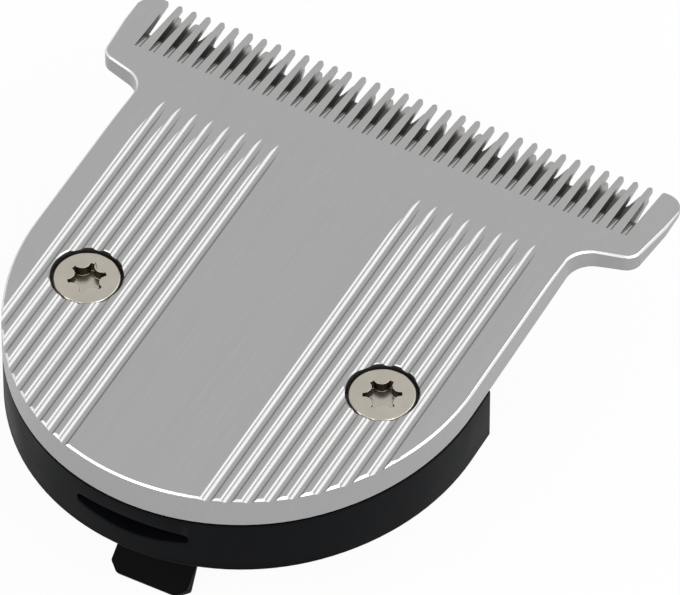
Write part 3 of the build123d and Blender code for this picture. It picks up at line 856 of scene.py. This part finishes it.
class BLADE_OT_stage(bpy.types.Operator):
    """Set the floor, the lamps, the world and the camera"""

    bl_idname = "blade.stage"
    bl_label = "Stage"

    def execute(self, context):
        settings = context.scene.blade.stage
        lay_floor(settings.floor_colour, cad_bounds[0][2] - FLOOR_GAP)
        light_world()
        target = Vector(settings.camera_target)
        hang_lamp("Lamp behind right", target, direction=(0.42, 0.59, 0.69), along=(0.83, 0.0, -0.55),
                  size=(0.42, 0.34), radiance=1.65)
        hang_lamp("Lamp front", target, direction=(-0.35, -0.72, 0.57), along=(1.0, -0.3, 0.0),
                  size=(0.56, 0.24), radiance=3.0)
        hang_lamp("Lamp right", target, direction=(0.72, -0.15, 0.50), along=(0.44, 0.94, -0.23),
                  size=(0.70, 0.40), radiance=2.6)
        set_camera(settings, target)
        context.scene.view_settings.view_transform = "Standard"
        return {"FINISHED"}


def lay_floor(colour, height):
    """A plain pale floor under the part."""
    mesh = bmesh.new()
    bmesh.ops.create_grid(mesh, x_segments=1, y_segments=1, size=FLOOR_HALF)
    bmesh.ops.translate(mesh, verts=mesh.verts, vec=(0, 0, height))
    data = bpy.data.meshes.new("floor")
    mesh.to_mesh(data)
    mesh.free()
    floor = bpy.data.objects.new("floor", data)
    bpy.context.scene.collection.objects.link(floor)
    material = bpy.data.materials.new("Pale floor")
    material.use_nodes = True
    tree = material.node_tree
    tree.nodes.clear()
    output = node(tree, "ShaderNodeOutputMaterial", (600, 0))
    matt = node(tree, "ShaderNodeBsdfDiffuse", (0, 120))
    matt.inputs["Color"].default_value = shade(colour, 1.0)
    glow = node(tree, "ShaderNodeEmission", (0, -80))
    glow.inputs["Color"].default_value = (1.0, 1.0, 1.0, 1.0)
    glow.inputs["Strength"].default_value = 1.0
    mixed = node(tree, "ShaderNodeMixShader", (380, 0))
    tree.links.new(seen_rays(tree, direct=0.95, mirrored=0.5), mixed.inputs["Fac"])
    tree.links.new(matt.outputs[0], mixed.inputs[1])
    tree.links.new(glow.outputs[0], mixed.inputs[2])
    tree.links.new(mixed.outputs[0], output.inputs["Surface"])
    data.materials.append(material)


def seen_rays(tree, direct, mirrored):
    """One value for camera and transmission rays, another for glossy rays and nothing for others."""
    path = node(tree, "ShaderNodeLightPath", (-700, 300))
    straight = node(tree, "ShaderNodeMath", (-450, 380), operation="MAXIMUM")
    whole = node(tree, "ShaderNodeMath", (-260, 380), operation="MULTIPLY")
    whole.inputs[1].default_value = direct
    part = node(tree, "ShaderNodeMath", (-450, 200), operation="MULTIPLY")
    part.inputs[1].default_value = mirrored
    either = node(tree, "ShaderNodeMath", (-60, 300), operation="MAXIMUM")
    tree.links.new(path.outputs["Is Camera Ray"], straight.inputs[0])
    tree.links.new(path.outputs["Is Transmission Ray"], straight.inputs[1])
    tree.links.new(straight.outputs[0], whole.inputs[0])
    tree.links.new(path.outputs["Is Glossy Ray"], part.inputs[0])
    tree.links.new(whole.outputs[0], either.inputs[0])
    tree.links.new(part.outputs[0], either.inputs[1])
    return either.outputs[0]


def light_world():
    """A soft even world, white where it is seen."""
    world = bpy.data.worlds.new("Studio")
    bpy.context.scene.world = world
    world.use_nodes = True
    tree = world.node_tree
    tree.nodes.clear()
    output = node(tree, "ShaderNodeOutputWorld", (600, 0))
    soft = node(tree, "ShaderNodeBackground", (150, 100))
    soft.inputs["Color"].default_value = (0.9, 0.92, 0.95, 1.0)
    soft.inputs["Strength"].default_value = 0.45
    white = node(tree, "ShaderNodeBackground", (150, -80))
    white.inputs["Color"].default_value = (1.0, 1.0, 1.0, 1.0)
    white.inputs["Strength"].default_value = 1.0
    mixed = node(tree, "ShaderNodeMixShader", (400, 0))
    tree.links.new(seen_rays(tree, direct=1.0, mirrored=1.0), mixed.inputs["Fac"])
    tree.links.new(soft.outputs[0], mixed.inputs[1])
    tree.links.new(white.outputs[0], mixed.inputs[2])
    tree.links.new(mixed.outputs[0], output.inputs["Surface"])


def hang_lamp(name, target, direction, along, size, radiance):
    """A soft box that faces the target, with its first side along a line and its face at a radiance."""
    data = bpy.data.lights.new(name, "AREA")
    data.shape = "RECTANGLE"
    data.size, data.size_y = size
    data.energy = radiance * math.pi * size[0] * size[1]
    lamp = bpy.data.objects.new(name, data)
    toward = Vector(direction).normalized()
    lamp.location = target + toward * LAMP_DISTANCE
    first = (Vector(along) - toward * toward.dot(Vector(along))).normalized()
    second = toward.cross(first)
    lamp.rotation_euler = Matrix((first, second, toward)).transposed().to_euler()
    lamp.visible_camera = False
    bpy.context.scene.collection.objects.link(lamp)


def set_camera(settings, target):
    """The camera at the photograph's angle."""
    data = bpy.data.cameras.new("Camera")
    data.lens = settings.lens
    data.sensor_width = 36.0
    data.sensor_fit = "HORIZONTAL"
    data.clip_start = 0.01
    data.clip_end = 20.0
    camera = bpy.data.objects.new("Camera", data)
    camera.location = Vector(settings.camera_place)
    camera.rotation_euler = (camera.location - target).to_track_quat("Z", "Y").to_euler()
    bpy.context.scene.collection.objects.link(camera)
    bpy.context.scene.camera = camera


class BLADE_PT_panel(bpy.types.Panel):
    """Lists the operators and the settings"""

    bl_idname = "BLADE_PT_panel"
    bl_label = "Clipper Blade"
    bl_space_type = "VIEW_3D"
    bl_region_type = "UI"
    bl_category = "Blade"

    def draw(self, context):
        settings = context.scene.blade
        column = self.layout.column(align=True)
        for operator in PIECE_OPERATORS:
            column.operator(operator.bl_idname)
        for group in (settings.edges, settings.finish, settings.stage):
            box = self.layout.box()
            for name in group.__annotations__:
                box.prop(group, name)


PIECE_OPERATORS = (
    BLADE_OT_comb,
    BLADE_OT_cutter,
    BLADE_OT_screws,
    BLADE_OT_inserts,
    BLADE_OT_base,
    BLADE_OT_carriage,
    BLADE_OT_spring,
    BLADE_OT_stage,
)
CLASSES = (
    BladeEdgeSettings,
    BladeFinishSettings,
    BladeStageSettings,
    BladeSettings,
) + PIECE_OPERATORS + (BLADE_PT_panel,)


def register():
    """Registers the classes and puts the settings on the scene."""
    for item in CLASSES:
        bpy.utils.register_class(item)
    bpy.types.Scene.blade = PointerProperty(type=BladeSettings)


def unregister():
    """Takes the settings off the scene and unregisters the classes."""
    del bpy.types.Scene.blade
    for item in reversed(CLASSES):
        bpy.utils.unregister_class(item)


def main():
    """Makes every piece and the stage."""
    register()
    bpy.ops.blade.comb()
    bpy.ops.blade.cutter()
    bpy.ops.blade.screws()
    bpy.ops.blade.inserts()
    bpy.ops.blade.base()
    bpy.ops.blade.carriage()
    bpy.ops.blade.spring()
    bpy.ops.blade.stage()


if __name__ == "__main__":
    main()
